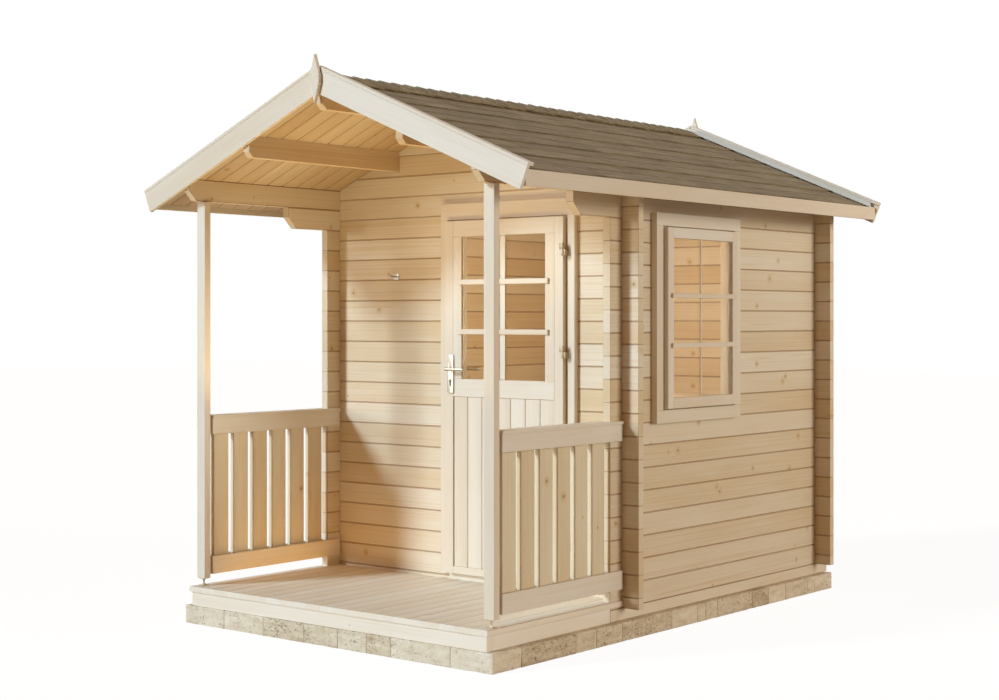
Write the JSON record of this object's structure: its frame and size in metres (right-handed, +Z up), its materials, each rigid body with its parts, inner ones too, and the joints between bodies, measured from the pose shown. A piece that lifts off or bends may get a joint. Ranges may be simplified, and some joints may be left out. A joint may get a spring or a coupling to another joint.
{
  "type": "outdoor sauna cabin",
  "caption": "Gabled log cabin sauna on a stone plinth, with a railed front porch under the roof, a half-glazed hinged door with a lever handle and a side window.",
  "frame": {"origin": "on the ground under the middle of the roof", "axes": "+Y from the porch to the back wall, +X to the right as seen from the porch, +Z up"},
  "size_m": [2.5958, 3.394, 2.8703],
  "materials": {
    "spruce": "planed, untreated",
    "planed_spruce": "planed, untreated",
    "roof_boarding": "planed, untreated",
    "limestone": "tumbled",
    "shingle": "mineral grit on bitumen",
    "zinc_steel": "zinc plated",
    "satin_steel": "satin",
    "glass": "clear float glass"
  },
  "bodies": {
    "cabin": {"stone_plinth": "limestone", "wall_bearers": "spruce", "porch_frame": "spruce", "porch_deck": "planed_spruce", "room_floor": "planed_spruce", "left_wall": "spruce", "right_wall": "spruce", "front_wall": "planed_spruce", "back_wall": "spruce", "front_gable": "planed_spruce", "back_gable": "spruce", "left_wall_plate": "spruce", "right_wall_plate": "spruce", "ridge_purlin": "spruce", "left_purlin": "spruce", "right_purlin": "spruce", "left_roof_boards": "roof_boarding", "right_roof_boards": "roof_boarding", "left_shingles": "shingle", "right_shingles": "shingle", "ridge_cap": "shingle", "front_barge_boards": "planed_spruce", "rear_barge_boards": "planed_spruce", "front_finial": "planed_spruce", "rear_finial": "planed_spruce", "eaves_boards": "planed_spruce", "left_post": "planed_spruce", "right_post": "planed_spruce", "post_feet": "zinc_steel", "left_railing": "spruce", "right_railing": "spruce", "door_frame": "planed_spruce", "threshold": "planed_spruce", "frame_hinges": "zinc_steel", "window_frame": "planed_spruce", "window_sash": "planed_spruce", "window_pane": "glass", "sauna_bench": "planed_spruce", "coat_hook": "satin_steel"},
    "door": {"door_leaf": "planed_spruce", "door_panel": "planed_spruce", "door_pane": "glass", "leaf_hinges": "zinc_steel", "handle_plates": "satin_steel"},
    "lever": {"door_levers": "satin_steel"}
  },
  "joints": [
    {"name": "door_hinge", "type": "hinge", "parent": "cabin", "child": "door", "pos_m": [0.6785, -0.6105, 0.234], "axis": [0, 0, 1], "range_deg": [0, 90]},
    {"name": "lever_turn", "type": "hinge", "parent": "door", "child": "lever", "pos_m": [-0.073, -0.602, 1.325], "axis": [0, 1, 0], "range_deg": [0, 40], "stiffness_Nm_per_rad": 1.5, "springref_deg": -17.19}
  ]
}
